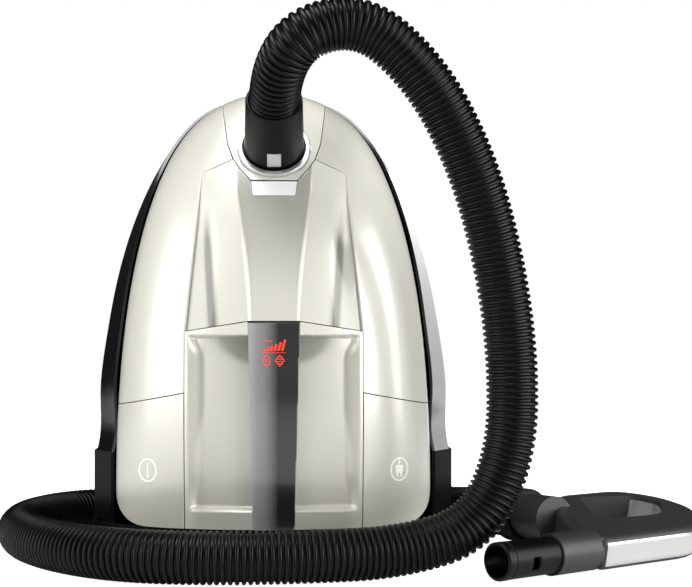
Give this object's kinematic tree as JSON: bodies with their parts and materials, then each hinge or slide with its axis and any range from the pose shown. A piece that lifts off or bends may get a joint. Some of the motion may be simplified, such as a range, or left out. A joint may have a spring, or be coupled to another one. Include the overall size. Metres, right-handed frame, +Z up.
{
  "type": "canister vacuum cleaner",
  "caption": "Champagne canister vacuum cleaner standing on its rear end, with a black ribbed hose looped round it to a grip handle",
  "frame": {"origin": "on the floor, in the middle of the face the cleaner stands on", "axes": "X right, Y away from the cover, Z up, seen from the front"},
  "size_m": [0.6523, 0.4009, 0.4813],
  "materials": {
    "champagne_gloss": "glossy champagne lacquer",
    "graphite_gloss": "glossy graphite",
    "red_lens": "lit red display window",
    "board_green": "circuit board",
    "silver_trim": "silver painted plastic",
    "steel": "plain steel",
    "black_gloss": "glossy black",
    "black_plastic": "satin black",
    "grey_plastic": "satin dark grey",
    "black_rubber": "matt rubber",
    "black_hose": "satin black ribbed hose",
    "bag_card": "card plate",
    "bag_paper": "filter paper",
    "filter_cloth": "filter fleece"
  },
  "bodies": {
    "canister": {"bag_collar": "bag_card", "bulkhead": "grey_plastic", "caster_socket": "black_plastic", "chassis": "black_gloss", "control_board": "board_green", "cord_outlet": "black_plastic", "display_board": "board_green", "display_lens": "red_lens", "display_strip": "graphite_gloss", "dust_bag": "bag_paper", "exhaust_filter": "filter_cloth", "exhaust_grille": "black_plastic", "fan_cover": "grey_plastic", "front_cover": "champagne_gloss", "grip_panel": "silver_trim", "handle_body": "grey_plastic", "handle_tube": "black_plastic", "hose": "black_hose", "housing_screws": "steel", "inlet_panel": "champagne_gloss", "inlet_ring": "silver_trim", "inlet_socket": "black_plastic", "left_axle": "steel", "left_side_panel": "champagne_gloss", "lid_hinge_pins": "steel", "loop_trim": "silver_trim", "motor_filter": "filter_cloth", "motor_housing": "steel", "motor_mount": "black_rubber", "nose_cap": "champagne_gloss", "power_switch": "black_plastic", "rear_bumper": "black_plastic", "reel_stand": "grey_plastic", "rewind_brake": "black_plastic", "right_axle": "steel", "right_side_panel": "champagne_gloss"},
    "dust_lid": {"dust_lid": "champagne_gloss"},
    "lid_latch": {"lid_latch": "silver_trim"},
    "power_pedal": {"power_pedal": "champagne_gloss"},
    "rewind_pedal": {"rewind_pedal": "champagne_gloss"},
    "hose_connector": {"hose_connector": "black_plastic"},
    "release_button": {"release_button": "silver_trim"},
    "left_wheel": {"left_wheel_hub": "grey_plastic", "left_tyre": "black_rubber"},
    "right_wheel": {"right_wheel_hub": "grey_plastic", "right_tyre": "black_rubber"},
    "caster_fork": {"caster_fork": "grey_plastic", "caster_axle": "steel"},
    "caster_wheel": {"caster_wheel": "black_rubber"},
    "motor_rotor": {"motor_rotor": "steel"},
    "cord_reel": {"cord_reel": "grey_plastic"},
    "hose_cuff": {"hose_cuff": "black_plastic"},
    "power_up_button": {"power_up_button": "black_plastic"},
    "power_down_button": {"power_down_button": "black_plastic"}
  },
  "joints": [
    {"name": "lid_hinge", "type": "hinge", "parent": "canister", "child": "dust_lid", "pos_m": [0, -0.123, 0.208], "axis": [1, 0, 0], "range_deg": [0, 70]},
    {"name": "latch_slide", "type": "slide", "parent": "dust_lid", "child": "lid_latch", "axis": [0, 1, 0], "range_m": [0, 0.0025], "stiffness_N_per_m": 800},
    {"name": "power_press", "type": "slide", "parent": "canister", "child": "power_pedal", "axis": [0, 1, 0], "range_m": [0, 0.004], "stiffness_N_per_m": 2000},
    {"name": "rewind_press", "type": "slide", "parent": "canister", "child": "rewind_pedal", "axis": [0, 1, 0], "range_m": [0, 0.004], "stiffness_N_per_m": 2000},
    {"name": "connector_swivel", "type": "hinge", "parent": "canister", "child": "hose_connector", "pos_m": [0, -0.07387, 0.367], "axis": [0, -0.8291, 0.5591], "continuous": true},
    {"name": "release_press", "type": "slide", "parent": "hose_connector", "child": "release_button", "axis": [0, 0.5591, 0.8291], "range_m": [0, 0.0012], "stiffness_N_per_m": 800},
    {"name": "left_wheel_spin", "type": "hinge", "parent": "canister", "child": "left_wheel", "pos_m": [-0.142, 0.08, 0.072], "axis": [1, 0, 0], "continuous": true},
    {"name": "right_wheel_spin", "type": "hinge", "parent": "canister", "child": "right_wheel", "pos_m": [0.142, 0.08, 0.072], "axis": [1, 0, 0], "continuous": true},
    {"name": "caster_swivel", "type": "hinge", "parent": "canister", "child": "caster_fork", "pos_m": [0, 0.09936, 0.318], "axis": [0, 1, 0], "continuous": true},
    {"name": "caster_roll", "type": "hinge", "parent": "caster_fork", "child": "caster_wheel", "pos_m": [0, 0.1185, 0.308], "axis": [1, 0, 0], "continuous": true},
    {"name": "motor_spin", "type": "hinge", "parent": "canister", "child": "motor_rotor", "pos_m": [-0.04, 0.034, 0.111], "axis": [0, 0, 1], "continuous": true},
    {"name": "reel_spin", "type": "hinge", "parent": "canister", "child": "cord_reel", "pos_m": [0.046, 0.026, 0.098], "axis": [1, 0, 0], "continuous": true},
    {"name": "cuff_swivel", "type": "hinge", "parent": "canister", "child": "hose_cuff", "pos_m": [0.24567, -0.01857, 0.03418], "axis": [-0.4498, 0.8926, -0.03], "continuous": true},
    {"name": "power_up_press", "type": "slide", "parent": "canister", "child": "power_up_button", "axis": [-0.9862, 0.1134, 0.1206], "range_m": [0, 0.0008], "stiffness_N_per_m": 800},
    {"name": "power_down_press", "type": "slide", "parent": "canister", "child": "power_down_button", "axis": [-0.9862, 0.1134, 0.1206], "range_m": [0, 0.0008], "stiffness_N_per_m": 800}
  ]
}
